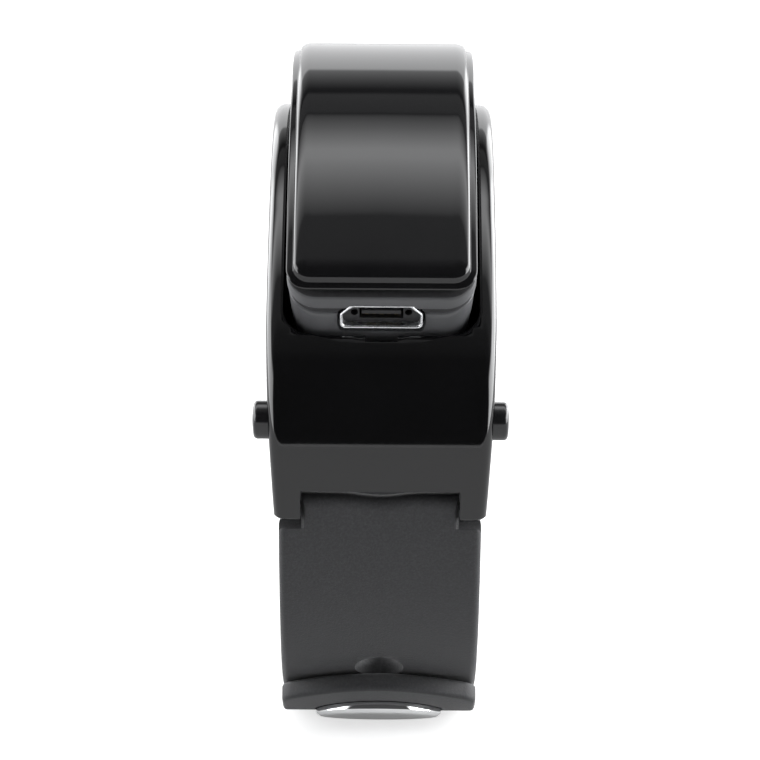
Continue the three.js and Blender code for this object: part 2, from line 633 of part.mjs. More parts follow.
add('front_strap', frontStrap(), softTouch);
add('rear_strap', rearStrap(), softTouch);
add('rear_strap_end', rearStrapEnd(), softTouch);
add('clasp_cap', claspCap(), chrome);
add('clasp_peg', claspPeg(), steel);

export default group;
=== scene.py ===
import json
import math

import bmesh
import bpy
from mathutils import Matrix, Vector


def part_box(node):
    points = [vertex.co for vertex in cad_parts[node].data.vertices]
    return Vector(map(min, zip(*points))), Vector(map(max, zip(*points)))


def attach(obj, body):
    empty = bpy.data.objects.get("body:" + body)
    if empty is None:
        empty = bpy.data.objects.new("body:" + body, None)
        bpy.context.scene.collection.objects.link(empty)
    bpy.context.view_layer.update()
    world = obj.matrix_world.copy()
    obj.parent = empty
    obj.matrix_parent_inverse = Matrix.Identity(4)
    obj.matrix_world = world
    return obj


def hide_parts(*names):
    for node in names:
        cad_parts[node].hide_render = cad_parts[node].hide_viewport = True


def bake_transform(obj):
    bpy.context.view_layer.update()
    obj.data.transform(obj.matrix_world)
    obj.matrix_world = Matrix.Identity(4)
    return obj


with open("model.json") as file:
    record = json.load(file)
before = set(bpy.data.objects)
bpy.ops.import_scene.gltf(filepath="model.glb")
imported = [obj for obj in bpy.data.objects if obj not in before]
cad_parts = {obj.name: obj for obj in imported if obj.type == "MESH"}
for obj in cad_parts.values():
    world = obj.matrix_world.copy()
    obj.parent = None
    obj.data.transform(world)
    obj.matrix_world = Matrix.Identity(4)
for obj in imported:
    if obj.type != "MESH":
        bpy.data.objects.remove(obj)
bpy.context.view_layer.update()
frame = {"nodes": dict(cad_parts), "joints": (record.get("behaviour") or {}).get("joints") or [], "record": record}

# A wrist tracker band: glossy module in a glossy cradle on a soft-touch strap with a chrome clasp.
# Lengths are in millimetres until MM turns them into Blender's metres.
MM = 0.001
record = frame["record"]
scene = bpy.context.scene


# ---------------------------------------------------------------- places, from the frame
def low(node):
    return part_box(node)[0] / MM


def high(node):
    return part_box(node)[1] / MM


def mount(name):
    found = next(m for m in record["mounts"] if m["name"] == name)
    return Vector(found["pos_m"]) / MM, Vector(found["axis"])


def joint_at(name):
    found = next(j for j in frame["joints"] if j["name"] == name)
    return Vector(found["pos_m"]) / MM


COVER_TOP_R = 40.0
COVER_LIP_R = 39.1
COVER_BASE_R = 38.35
SEAM_TOP_R = 37.24
SEAM_BASE_R = 36.74
MODULE_BASE_R = 31.8
COVER_CORNER, UPPER_CORNER, LOWER_CORNER = 1.9, 2.3, 2.6
MODULE_Z = high("top_cover").z - COVER_TOP_R
MODULE_HALF = high("lower_shell").x
PORT_AT, PORT_OUT = mount("charging_port")
WALL_TILT = math.atan2(-PORT_OUT.z, -PORT_OUT.y)
WALL_OFFSET = (PORT_AT - Vector((0, 0, MODULE_Z))).dot(PORT_OUT)

CRADLE_HALF = high("cradle_shell").x
CRADLE_FRONT = high("cradle_shell").y
CRADLE_FOOT_Z = low("cradle_shell").z
CRADLE_INNER_R = 29.6
CRADLE_WIDEST_Z = CRADLE_FOOT_Z + 4.8
FACE_ARC_R = 15.7
FACE_ARC_TURN = math.radians(40)
RAIL_TOP_R = 34.15
RAIL_EASE_ANGLE = math.radians(28)
NOTCH_HALF = 7.1
NOTCH_TOP_Z = CRADLE_FOOT_Z + 3.0
FOOT_ROUND = 0.45
BUTTON_BORE_R = 1.86
BUTTON_BORE_FROM_X = 7.7  # deep enough for the pressed button
THUMB_NOTCH_HALF = 1.45
LINER_INNER_R = 28.4
LINER_HALF_ANGLE = math.radians(70)
LINER_CORNER = 2.0

HINGE = joint_at("front_strap_swing")
RING_Z = HINGE.z + 4.4
STRAP_HALF = 9.05
SHOULDER = 79.0
LAP_ANGLE = 45.0
SHOULDER_RADII = (30.5, 32.6)
SHOULDER_DIP = 1.7
FRONT_LAP_RADII = (30.2, 32.2)
REAR_LAP_RADII = (32.5, 34.2)
FRONT_END_ANGLE = -43.0
TIP_ANGLE = 41.6
CLASP_ANGLE = 27.0
HOLE_STEP = 15.6
HOLE_COUNT = 5
HOLE_HALF = (2.25, 2.4)  # half width and half length
CAP_TOP_R = 34.9
CAP_HALF = (5.9, 4.9)
CAP_SEAT_GAP = 0.18
STEM_HALF = 1.8


# ---------------------------------------------------------------- mesh building
def shade(mesh, sharp_degrees):
    """Smooth faces, with edges sharper than the given angle kept crisp."""
    bm = bmesh.new()
    bm.from_mesh(mesh)
    limit = math.radians(sharp_degrees)
    for face in bm.faces:
        face.smooth = True
    for edge in bm.edges:
        edge.smooth = len(edge.link_faces) == 2 and edge.calc_face_angle(0) < limit
    bm.to_mesh(mesh)
    bm.free()


def new_object(name, verts, faces):
    """Closed mesh in metres from points in millimetres, cleaned of doubles, with its faces out."""
    mesh = bpy.data.meshes.new(name)
    mesh.from_pydata([Vector(v) * MM for v in verts], [], faces)
    bm = bmesh.new()
    bm.from_mesh(mesh)
    bmesh.ops.remove_doubles(bm, verts=bm.verts, dist=2e-7)
    bmesh.ops.dissolve_degenerate(bm, edges=bm.edges, dist=1e-8)
    bmesh.ops.recalc_face_normals(bm, faces=bm.faces)
    bm.to_mesh(mesh)
    bm.free()
    obj = bpy.data.objects.new(name, mesh)
    scene.collection.objects.link(obj)
    return obj


def bake_modifiers(obj):
    depsgraph = bpy.context.evaluated_depsgraph_get()
    mesh = bpy.data.meshes.new_from_object(obj.evaluated_get(depsgraph))
    obj.modifiers.clear()
    old = obj.data
    obj.data = mesh
    bpy.data.meshes.remove(old)


def cut(obj, *tools):
    """Takes each tool out of obj, and deletes the tools. Stops if most of obj has gone."""
    faces_before = len(obj.data.polygons)
    for tool in tools:
        modifier = obj.modifiers.new("cut", "BOOLEAN")
        modifier.object = tool
        modifier.operation = "DIFFERENCE"
        modifier.solver = "EXACT"
    bpy.context.view_layer.update()
    bake_modifiers(obj)
    if len(obj.data.polygons) < faces_before / 3:
        raise RuntimeError(f"too little is left of {obj.name} after its cuts")
    for tool in tools:
        mesh = tool.data
        bpy.data.objects.remove(tool)
        bpy.data.meshes.remove(mesh)
    return obj


def soften(obj, width, segments=2, angle=40):
    """Rounds off the edges that are sharper than the angle."""
    modifier = obj.modifiers.new("soften", "BEVEL")
    modifier.width = width * MM
    modifier.segments = segments
    modifier.limit_method = "ANGLE"
    modifier.angle_limit = math.radians(angle)
    modifier.use_clamp_overlap = True
    bpy.context.view_layer.update()
    bake_modifiers(obj)
    return obj


def stacked(name, rings, closed=False):
    """Rings of points with equal counts, joined in order; closed joins the last ring to the first."""
    count = len(rings[0])
    verts = [p for ring in rings for p in ring]
    faces = []
    pairs = len(rings) if closed else len(rings) - 1
    for k in range(pairs):
        a, b = k * count, ((k + 1) % len(rings)) * count
        for i in range(count):
            j = (i + 1) % count
            faces.append((a + i, a + j, b + j, b + i))
    if not closed:
        faces.append(tuple(range(count - 1, -1, -1)))
        faces.append(tuple(range((len(rings) - 1) * count, len(rings) * count)))
    return new_object(name, verts, faces)


CAP_RINGS = (0.985, 0.93, 0.6, 0.25, 0.0)


def plate(name, outline, levels, place, end_slide=0.05):
    """A closed plate. outline(level) gives its (x, s) rim at a level, levels run from its lower face's rim
    to its upper face's, and place(x, s, level) puts a point in space. Both faces shrink to their middle."""

    def face_ring(level, k):
        points = outline(level)
        middle = (min(s for _, s in points) + max(s for _, s in points)) / 2
        shrink = 1 - end_slide * (1 - k)
        return [place(x * k, middle + (s - middle) * shrink, level) for x, s in points]

    rings = [face_ring(levels[0], k) for k in reversed(CAP_RINGS)]
    rings += [[place(x, s, level) for x, s in outline(level)] for level in levels]
    rings += [face_ring(levels[-1], k) for k in CAP_RINGS]
    count = len(rings[0])
    verts = [p for ring in rings for p in ring]
    faces = []
    for k in range(len(rings) - 1):
        for i in range(count):
            j = (i + 1) % count
            faces.append((k * count + i, k * count + j, (k + 1) * count + j, (k + 1) * count + i))
    return new_object(name, verts, faces)


def full_turn(sides):
    return [2 * math.pi * i / sides for i in range(sides)]


def spun(name, profile, sides, place):
    """A solid of revolution. profile is (radius, height) from axis to axis, and place(x, y, h) puts a
    point in space."""
    turns = full_turn(sides)
    return stacked(name, [[place(r * math.cos(a), r * math.sin(a), h) for a in turns] for r, h in profile])


def block(name, xs, ys, zs, place=lambda x, y, z: Vector((x, y, z))):
    round_the_base = ((xs[0], ys[0]), (xs[1], ys[0]), (xs[1], ys[1]), (xs[0], ys[1]))
    corners = [place(x, y, z) for z in zs for x, y in round_the_base]
    return new_object(name, corners, [
        (3, 2, 1, 0), (4, 5, 6, 7), (0, 1, 5, 4), (1, 2, 6, 5), (2, 3, 7, 6), (3, 0, 4, 7)])


def finish(obj, body, material, nodes=(), sharp=32):
    shade(obj.data, sharp)
    obj.data.materials.clear()
    obj.data.materials.append(material)
    if body:
        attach(obj, body)
    if nodes:
        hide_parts(*nodes)
    return obj


def ramp(a, b, count):
    return [a + (b - a) * i / count for i in range(count + 1)]


def smooth(value, start, end):
    t = min(max((value - start) / (end - start), 0.0), 1.0)
    return t * t * (3 - 2 * t)


# ---------------------------------------------------------------- materials
def node_material(name):
    material = bpy.data.materials.new(name)
    material.use_nodes = True
    nodes = material.node_tree.nodes
    return material, nodes, material.node_tree.links, nodes["Principled BSDF"]


def position(nodes, links, scale):
    """Object coordinates in units of 1/scale metres."""
    coords = nodes.new("ShaderNodeTexCoord")
    mapping = nodes.new("ShaderNodeMapping")
    mapping.inputs["Scale"].default_value = (scale, scale, scale)
    links.new(coords.outputs["Object"], mapping.inputs["Vector"])
    return mapping.outputs["Vector"]


def noise(nodes, links, vector, detail=3.0, rough=0.5):
    texture = nodes.new("ShaderNodeTexNoise")
    texture.inputs["Scale"].default_value = 1.0
    texture.inputs["Detail"].default_value = detail
    texture.inputs["Roughness"].default_value = rough
    links.new(vector, texture.inputs["Vector"])
    return texture.outputs["Fac"]


def spread(nodes, links, value, low_out, high_out, low_in=0.3, high_in=0.7):
    mapping = nodes.new("ShaderNodeMapRange")
    mapping.inputs["From Min"].default_value = low_in
    mapping.inputs["From Max"].default_value = high_in
    mapping.inputs["To Min"].default_value = low_out
    mapping.inputs["To Max"].default_value = high_out
    links.new(value, mapping.inputs["Value"])
    return mapping.outputs["Result"]


def two_tone(nodes, links, value, dark, light, low_in=0.3, high_in=0.7):
    colours = nodes.new("ShaderNodeValToRGB")
    colours.color_ramp.elements[0].position = low_in
    colours.color_ramp.elements[0].color = (*dark, 1)
    colours.color_ramp.elements[1].position = high_in
    colours.color_ramp.elements[1].color = (*light, 1)
    links.new(value, colours.inputs["Fac"])
    return colours.outputs["Color"]


def bump(nodes, links, height, distance, strength, shader, below=None):
    node = nodes.new("ShaderNodeBump")
    node.inputs["Distance"].default_value = distance * MM
    node.inputs["Strength"].default_value = strength
    links.new(height, node.inputs["Height"])
    if below:
        links.new(below, node.inputs["Normal"])
    links.new(node.outputs["Normal"], shader.inputs["Normal"])
    return node.outputs["Normal"]


def gloss_plastic(name, dark, light, roughness, wear):
    """Polished moulded plastic: near-black, with fine wear in its roughness and slight moulding waviness."""
    material, nodes, links, shader = node_material(name)
    blotches = noise(nodes, links, position(nodes, links, 180), 4)
    scuffs = noise(nodes, links, position(nodes, links, 2600), 6, 0.7)
    links.new(two_tone(nodes, links, blotches, dark, light), shader.inputs["Base Color"])
    worn = spread(nodes, links, scuffs, roughness, roughness + wear, 0.45, 0.85)
    links.new(worn, shader.inputs["Roughness"])
    waves = noise(nodes, links, position(nodes, links, 60), 1)
    bump(nodes, links, waves, 0.02, 0.12, shader)
    shader.inputs["IOR"].default_value = 1.5
    return material


def grained_plastic(name, dark, light, roughness, grain):
    """Matt moulded plastic with a fine spark-eroded grain."""
    material, nodes, links, shader = node_material(name)
    fine = noise(nodes, links, position(nodes, links, 9000), 3, 0.6)
    broad = noise(nodes, links, position(nodes, links, 250), 3)
    links.new(two_tone(nodes, links, broad, dark, light), shader.inputs["Base Color"])
    links.new(spread(nodes, links, fine, roughness - 0.08, roughness + 0.08), shader.inputs["Roughness"])
    bump(nodes, links, fine, 0.02, grain, shader)
    shader.inputs["IOR"].default_value = 1.48
    return material


def soft_rubber(name):
    """Soft-touch elastomer: dark grey with a fine light speckle, pores, and a broad soft sheen."""
    material, nodes, links, shader = node_material(name)
    pores = nodes.new("ShaderNodeTexVoronoi")
    pores.inputs["Scale"].default_value = 1.0
    links.new(position(nodes, links, 5200), pores.inputs["Vector"])
    speckle = noise(nodes, links, position(nodes, links, 4200), 5, 0.8)
    colour = two_tone(nodes, links, speckle, (0.015, 0.0153, 0.0168), (0.038, 0.0386, 0.041), 0.42, 0.74)
    links.new(colour, shader.inputs["Base Color"])
    links.new(spread(nodes, links, speckle, 0.6, 0.78), shader.inputs["Roughness"])
    shallow = bump(nodes, links, pores.outputs["Distance"], 0.03, 0.35, shader)
    bump(nodes, links, speckle, 0.05, 0.4, shader, shallow)
    shader.inputs["Sheen Weight"].default_value = 0.1
    shader.inputs["Sheen Roughness"].default_value = 0.4
    shader.inputs["IOR"].default_value = 1.45
    return material


def metal(name, dark, light, roughness, scratch_scale=(900, 9000, 900)):
    """Metal with fine drawn scratches in its roughness and height."""
    material, nodes, links, shader = node_material(name)
    coords = nodes.new("ShaderNodeTexCoord")
    mapping = nodes.new("ShaderNodeMapping")
    mapping.inputs["Scale"].default_value = scratch_scale
    links.new(coords.outputs["Object"], mapping.inputs["Vector"])
    scratches = noise(nodes, links, mapping.outputs["Vector"], 5, 0.7)
    broad = noise(nodes, links, position(nodes, links, 200), 3)
    links.new(two_tone(nodes, links, broad, dark, light), shader.inputs["Base Color"])
    scratched = spread(nodes, links, scratches, roughness * 0.7, roughness * 1.4)
    links.new(scratched, shader.inputs["Roughness"])
    bump(nodes, links, scratches, 0.004, 0.06, shader)
    shader.inputs["Metallic"].default_value = 1.0
    return material


def speckled(name, dark, light, roughness, scale):
    """Small inner parts: a two-tone mottled surface."""
    material, nodes, links, shader = node_material(name)
    mottle = noise(nodes, links, position(nodes, links, scale), 4)
    links.new(two_tone(nodes, links, mottle, dark, light), shader.inputs["Base Color"])
    links.new(spread(nodes, links, mottle, roughness, roughness + 0.12), shader.inputs["Roughness"])
    bump(nodes, links, mottle, 0.02, 0.15, shader)
    return material


MATERIALS = {
    "gloss_black": gloss_plastic(
        "cradle_gloss", (0.0016, 0.0016, 0.0019), (0.0024, 0.0024, 0.0027), 0.05, 0.06),
    "cover_black": gloss_plastic(
        "cover_gloss", (0.003, 0.003, 0.0035), (0.0045, 0.0045, 0.005), 0.035, 0.04),
    "matte_shell": grained_plastic(
        "shell_matt", (0.062, 0.063, 0.066), (0.072, 0.073, 0.077), 0.42, 0.25),
    "liner_plastic": grained_plastic(
        "liner_satin", (0.014, 0.014, 0.016), (0.019, 0.019, 0.021), 0.38, 0.15),
    "soft_touch": soft_rubber("strap_soft_touch"),
    "chrome": metal("clasp_chrome", (0.80, 0.81, 0.82), (0.88, 0.885, 0.89), 0.06),
    "steel": metal("plain_steel", (0.55, 0.56, 0.57), (0.66, 0.67, 0.68), 0.26),
    "contact_gold": metal("contact_gold", (0.72, 0.56, 0.30), (0.86, 0.70, 0.42), 0.2),
    "board": speckled("solder_mask", (0.012, 0.07, 0.035), (0.02, 0.11, 0.055), 0.4, 900),
    "chip": speckled("moulded_chip", (0.012, 0.012, 0.013), (0.022, 0.022, 0.024), 0.5, 2500),
    "battery_foil": metal("battery_foil", (0.55, 0.56, 0.58), (0.68, 0.69, 0.71), 0.34, (500, 500, 500)),
    "display": gloss_plastic("display_glass", (0.004, 0.004, 0.006), (0.006, 0.006, 0.009), 0.04, 0.03),
    "flex": speckled("flex_circuit", (0.30, 0.12, 0.02), (0.42, 0.19, 0.04), 0.4, 1200),
}
# Hinge pins and spring bars get a near-black steel: painted shade for the narrow hinge gaps they show through.
pin_steel_painted_shade = metal("spring_bar_painted_shade", (0.035, 0.035, 0.037), (0.06, 0.06, 0.063), 0.4)
button_plastic = gloss_plastic("button_satin", (0.007, 0.007, 0.008), (0.010, 0.010, 0.011), 0.16, 0.08)

slot_of = {s["node"]: s["material_slot"] for s in record["subparts"]}
for node_name, node_object in frame["nodes"].items():
    node_object.data.materials.clear()
    on_hinge = "spring_bar" in node_name or "_pin" in node_name
    node_object.data.materials.append(pin_steel_painted_shade if on_hinge else MATERIALS[slot_of[node_name]])


# ---------------------------------------------------------------- module
def on_arc(x, angle, radius):
    """Point on the module's arc; angle in radians from straight up, positive away from the port."""
    return Vector((x, radius * math.sin(angle), MODULE_Z + radius * math.cos(angle)))


def place_on_arc(x, s, level):
    return on_arc(x, s, level[0])


def wall_angle(radius, inset):
    """Angle at which the leaning end wall, moved in by inset, meets this radius."""
    return WALL_TILT + math.asin((WALL_OFFSET - inset) / radius)


def rounded_rim(half_width, half_length, corner_x, corner_s, side=56, turn=10, end=14):
    """Rounded rectangle in (x, s), starting on the right-hand side."""
    w, l = half_width, half_length
    x0, s0 = w - corner_x, l - corner_s
    quarter = [
        (corner_x * math.sin(a), corner_s * math.sin(a), corner_x * math.cos(a), corner_s * math.cos(a))
        for a in (math.pi / 2 * i / turn for i in range(1, turn))]
    points = [(w, s) for s in ramp(-s0, s0, side)]
    points += [(x0 + cos_x, s0 + sin_s) for _, sin_s, cos_x, _ in quarter]
    points += [(x, l) for x in ramp(x0, -x0, end)]
    points += [(-x0 - sin_x, s0 + cos_s) for sin_x, _, _, cos_s in quarter]
    points += [(-w, s) for s in ramp(s0, -s0, side)]
    points += [(-x0 - cos_x, -s0 - sin_s) for _, sin_s, cos_x, _ in quarter]
    points += [(x, -l) for x in ramp(-x0, x0, end)]
    points += [(x0 + sin_x, -s0 - cos_s) for sin_x, _, _, cos_s in quarter]
    return points


def module_rim(half_width, corner):
    """Outline of a module tier. A level is (radius, inset, extra corner radius) and, where the long sides
    differ from the ends, their own inset."""

    def outline(level):
        radius, inset, extra = level[:3]
        side_inset = level[3] if len(level) > 3 else inset
        turn = max(corner + extra - inset, 0.15)
        return rounded_rim(half_width - side_inset, wall_angle(radius, inset), turn, turn / radius)

    return outline


def cover():
    """Mushroom-shaped: a recessed neck under an overhanging window with a steep rounded edge."""
    lip, base, top = COVER_LIP_R, COVER_BASE_R, COVER_TOP_R
    levels = [
        (base, 0.95, 0), (base, 0.75, 0), (base + 0.1, 0.62, 0), (lip - 0.16, 0.6, 0),
        (lip - 0.09, 0.5, 0), (lip - 0.08, 0.2, 0), (lip - 0.06, 0.08, 0), (lip - 0.01, 0.01, 0),
        (lip + 0.05, 0, 0), (lip + 0.1, 0.03, 0, 0.04), (lip + 0.16, 0.12, 0, 0.2),
        (lip + 0.2, 0.26, 0, 0.4), (lip + 0.24, 0.35, 0, 0.55), (lip + 0.38, 0.37, 0, 0.62),
        (lip + 0.52, 0.4, 0, 0.66), (lip + 0.64, 0.48, 0, 0.75), (lip + 0.75, 0.63, 0, 0.93),
        (top - 0.07, 0.86, 0, 1.18), (top - 0.02, 1.1, 0, 1.4), (top, 1.4, 0, 1.6), (top, 1.8, 0, 1.8),
    ]
    obj = plate("cover_window", module_rim(MODULE_HALF, COVER_CORNER), levels, place_on_arc)
    return finish(obj, "module", MATERIALS["cover_black"], ["top_cover"])


def port_place(x, up, out):
    """Charging socket's own frame: x across, up the end wall, out of it."""
    wall_up = Vector((0, PORT_OUT.z, -PORT_OUT.y))
    return PORT_AT + Vector((x, 0, 0)) + wall_up * up + PORT_OUT * out


PORT_HALF_WIDTH = 3.7
PORT_HALF_HEIGHT = 1.22
PORT_CUT_DEPTH = 5.2
PORT_GAP = 0.22


def port_rim(grow, turn=5):
    """Socket outline, narrower along its upper side, corners rounded."""
    w, h = PORT_HALF_WIDTH + grow, PORT_HALF_HEIGHT + grow
    top_w = w - 0.95
    corners = [
        (w, -h, 0.45), (w, 0.25, 0.5), (top_w, h, 0.35), (-top_w, h, 0.35), (-w, 0.25, 0.5), (-w, -h, 0.45)]
    points = []
    for i, (x, y, radius) in enumerate(corners):
        here = Vector((x, y))
        back = (Vector(corners[i - 1][:2]) - here).normalized()
        ahead = (Vector(corners[(i + 1) % len(corners)][:2]) - here).normalized()
        half_angle = back.angle(ahead) / 2
        r = max(radius + grow * 0.5, 0.08)
        reach = r / math.tan(half_angle)
        start, stop = here + back * reach, here + ahead * reach
        centre = here + (back + ahead).normalized() * (r / math.sin(half_angle))
        a = math.atan2(*(start - centre).yx)
        b = math.atan2(*(stop - centre).yx)
        if b < a:
            b += 2 * math.pi
        points += [tuple(centre + Vector((math.cos(t), math.sin(t))) * r) for t in ramp(a, b, turn)]
    return points


def port_cutter(grow, depth, drop=0.0):
    rings = [[port_place(x, y - drop, out) for x, y in port_rim(grow)] for out in (-depth, 1.5)]
    return stacked("cutter", rings)


def radial_place(angle, x):
    """Frame of a screw on the module's arc: its height is the arc's radius."""
    out = Vector((0, math.sin(angle), math.cos(angle)))
    along = Vector((0, math.cos(angle), -math.sin(angle)))
    centre = Vector((x, 0, MODULE_Z))
    return lambda a, b, h: centre + Vector((a, 0, 0)) + along * b + out * h


def rod_cutter(place, radius, start, stop, sides=28):
    return spun("cutter", [(0.0, start), (radius, start), (radius, stop), (0.0, stop)], sides, place)


# name, then the side across the band and the side along it
SCREW_SPOTS = [
    ("front_left", -1, -1), ("front_right", 1, -1), ("rear_left", -1, 1), ("rear_right", 1, 1)]
# angle from the module's middle, distance across
MODULE_SCREW = (math.radians(45.5), 5.6)
LINER_SCREW = (math.radians(50), 6.4)


def upper_case():
    """Its edge laps over the top of the socket's metal rim."""
    top, base = COVER_BASE_R - 0.12, SEAM_TOP_R
    levels = [
        (base, 0.9, 0.5), (base, 0.26, 0.5), (base + 0.03, 0.12, 0.5), (base + 0.1, 0.06, 0.5),
        (base + 0.4, 0.04, 0.4), (top - 0.2, 0.04, 0.3), (top - 0.05, 0.09, 0.3), (top, 0.2, 0.3),
        (top, 0.8, 0.3),
    ]
    obj = plate("upper_case", module_rim(MODULE_HALF, UPPER_CORNER), levels, place_on_arc)
    cut(obj, port_cutter(0.1, PORT_CUT_DEPTH, 0.3))
    return finish(obj, "module", MATERIALS["matte_shell"], ["upper_shell"])


def groove_painted_shade():
    """Near-black sheet on the case's edge, at the foot of the window's neck: painted shade for the groove under
    the window's overhang.
    """
    top = COVER_BASE_R - 0.07
    levels = [
        (top - 0.3, 1.0, 0.3), (top - 0.3, 0.2, 0.3), (top - 0.03, 0.17, 0.3), (top, 0.22, 0.3),
        (top, 1.0, 0.3)]
    obj = plate("groove_painted_shade", module_rim(MODULE_HALF, UPPER_CORNER), levels, place_on_arc)
    # Painted shade: the chip black on this sheet darkens the groove that the window's overhang shades.
    return finish(obj, "module", MATERIALS["chip"])


def seam_band():
    """Dark recessed strip between the two shells."""
    levels = [
        (SEAM_BASE_R - 0.25, 1.0, 0.6), (SEAM_BASE_R, 0.34, 0.6), (SEAM_TOP_R, 0.26, 0.6),
        (SEAM_TOP_R + 0.2, 1.0, 0.6)]
    obj = plate("seam_band", module_rim(MODULE_HALF, UPPER_CORNER), levels, place_on_arc)
    cut(obj, port_cutter(PORT_GAP, PORT_CUT_DEPTH))
    return finish(obj, "module", MATERIALS["chip"])


def lower_case():
    """Tub of the module, with room round the socket and recesses for the screws underneath."""
    top, base = SEAM_BASE_R, MODULE_BASE_R
    levels = [
        (base, 3.2, 1.4), (base + 0.02, 2.5, 1.4), (base + 0.12, 1.9, 1.3), (base + 0.36, 1.42, 1.2),
        (base + 0.8, 1.02, 1.0), (base + 1.4, 0.74, 0.9), (base + 2.2, 0.52, 0.8),
        (base + 3.2, 0.36, 0.7), (top - 0.5, 0.22, 0.6),
        (top - 0.12, 0.17, 0.5), (top - 0.03, 0.22, 0.5), (top, 0.36, 0.5), (top, 0.9, 0.5),
    ]
    obj = plate("lower_case", module_rim(MODULE_HALF, LOWER_CORNER), levels, place_on_arc)
    tools = [port_cutter(PORT_GAP, PORT_CUT_DEPTH), port_cutter(0.12, 1.6, 0.4)]
    angle, x = MODULE_SCREW
    for _, sx, sy in SCREW_SPOTS:
        tools.append(rod_cutter(radial_place(sy * angle, sx * x), 1.2, base - 1, base + 0.75))
    cut(obj, *tools)
    soften(obj, 0.08)
    return finish(obj, "module", MATERIALS["matte_shell"], ["lower_shell"])


def screw(name, body, spot, height, radius, node):
    """Small cross-recess screw seen from the wrist side."""
    place = radial_place(*spot)
    stem = radius * 0.55
    profile = [
        (0.0, height), (stem, height), (radius * 0.85, height + 0.04), (radius, height + 0.14),
        (radius, height + 0.4), (stem, height + 0.45), (stem, height + 1.6), (0.0, height + 1.6)]
    obj = spun(name, profile, 28, place)
    arm, width = radius * 0.55, radius * 0.12
    cut(obj,
        block("cutter", (-arm, arm), (-width, width), (height - 0.2, height + 0.2), place),
        block("cutter", (-width, width), (-arm, arm), (height - 0.2, height + 0.2), place))
    soften(obj, 0.02, 1)
    return finish(obj, body, MATERIALS["steel"], [node])


def port():
    """Socket shell with a rolled mouth, its moulded back with two latch windows, tongue and contacts."""
    profile = [(0.0, -4.5), (0.0, -0.12), (-0.03, -0.03), (-0.09, 0.0), (-0.17, -0.02), (-0.24, -0.08),
               (-0.28, -0.2), (-0.28, -4.5)]
    rings = [[port_place(x, y, out) for x, y in port_rim(grow)] for grow, out in profile]
    shell = stacked("port_shell", rings, closed=True)
    finish(shell, "module", MATERIALS["steel"], ["usb_shell"], sharp=50)

    back_rings = [[port_place(x, y, out) for x, y in port_rim(-0.24)] for out in (-4.4, -0.85)]
    back = stacked("port_back", back_rings)
    windows = [rod_cutter(lambda a, b, h, sx=sx: port_place(sx * 2.4 + a, b, h), 0.33, -1.7, -0.5)
               for sx in (-1, 1)]
    cut(back, *windows, block("cutter", (-1.95, 1.95), (-0.6, 0.62), (-4.0, 0.0), port_place))
    finish(back, "module", MATERIALS["chip"])

    tongue = block("port_tongue", (-1.75, 1.75), (0.02, 0.42), (-2.4, -0.5), port_place)
    soften(tongue, 0.08)
    finish(tongue, "module", MATERIALS["chip"], ["usb_tongue"])

    pitch = 0.65
    for i in range(5):
        x = (i - 2) * pitch
        blade = block(
            f"port_contact_{i + 1}", (x - 0.2, x + 0.2), (-0.06, 0.06), (-2.2, -0.62), port_place)
        soften(blade, 0.04)
        replaced = ["usb_contacts"] if i == 0 else ()
        finish(blade, "module", MATERIALS["contact_gold"], replaced)


# ---------------------------------------------------------------- cradle
RIM_OUT = 1.05
RIM_IN = 0.5


def cradle_half_width(z):
    """Half width of the cradle at a height: narrow at the ears, widest at the rails."""
    stops = [(0.0, 0.85), (2.3, 0.7), (7.3, 0.4), (11.0, 0.2), (17.0, 0.0), (40.0, 0.0)]
    rise = z - CRADLE_FOOT_Z
    for (z0, w0), (z1, w1) in zip(stops, stops[1:]):
        if rise <= z1:
            return CRADLE_HALF - w0 - (w1 - w0) * min(max((rise - z0) / (z1 - z0), 0), 1)
    return CRADLE_HALF


def front_face_curve():
    """Outer side view of an end face as (y out, z), from the ear's foot to the rail's end."""
    points = []
    for z in ramp(CRADLE_FOOT_Z, CRADLE_WIDEST_Z, 14)[:-1]:
        points.append((math.sqrt(CRADLE_FRONT ** 2 - (CRADLE_WIDEST_Z - z) ** 2), z))
    for turn in ramp(0, FACE_ARC_TURN, 30):
        back = FACE_ARC_R * (1 - math.cos(turn))
        points.append((CRADLE_FRONT - back, CRADLE_WIDEST_Z + FACE_ARC_R * math.sin(turn)))
    return points


def cradle_path():
    """Pairs of side-view points (outer, inner), from the port end's foot over the rails to the other foot."""
    front = front_face_curve()
    lengths = [0.0]
    for (y0, z0), (y1, z1) in zip(front, front[1:]):
        lengths.append(lengths[-1] + math.hypot(y1 - y0, z1 - z0))
    foot = math.acos((CRADLE_FOOT_Z - MODULE_Z) / CRADLE_INNER_R)
    top_y, top_z = front[-1]
    top, end_r = math.atan2(top_y, top_z - MODULE_Z), math.hypot(top_y, top_z - MODULE_Z)
    pairs = []
    for (y, z), length in zip(front, lengths):
        angle = foot + (top - foot) * length / lengths[-1]
        inner = (CRADLE_INNER_R * math.sin(angle), MODULE_Z + CRADLE_INNER_R * math.cos(angle))
        pairs.append(((-y, z), (-inner[0], inner[1])))
    half = len(pairs)
    for angle in ramp(-top, top, 90)[1:-1]:
        ease = max((abs(angle) - RAIL_EASE_ANGLE) / (top - RAIL_EASE_ANGLE), 0.0)
        radius = RAIL_TOP_R + (end_r - RAIL_TOP_R) * ease ** 1.3
        pairs.append((
            (radius * math.sin(angle), MODULE_Z + radius * math.cos(angle)),
            (CRADLE_INNER_R * math.sin(angle), MODULE_Z + CRADLE_INNER_R * math.cos(angle))))
    pairs += [((-o[0], o[1]), (-i[0], i[1])) for o, i in reversed(pairs[:half])]
    return pairs


def curve_normals(points):
    """Unit normals on the left of the direction of travel."""
    normals = []
    for k in range(len(points)):
        a, b = points[max(k - 1, 0)], points[min(k + 1, len(points) - 1)]
        along = Vector((b[0] - a[0], b[1] - a[1])).normalized()
        normals.append(Vector((-along.y, along.x)))
    return normals


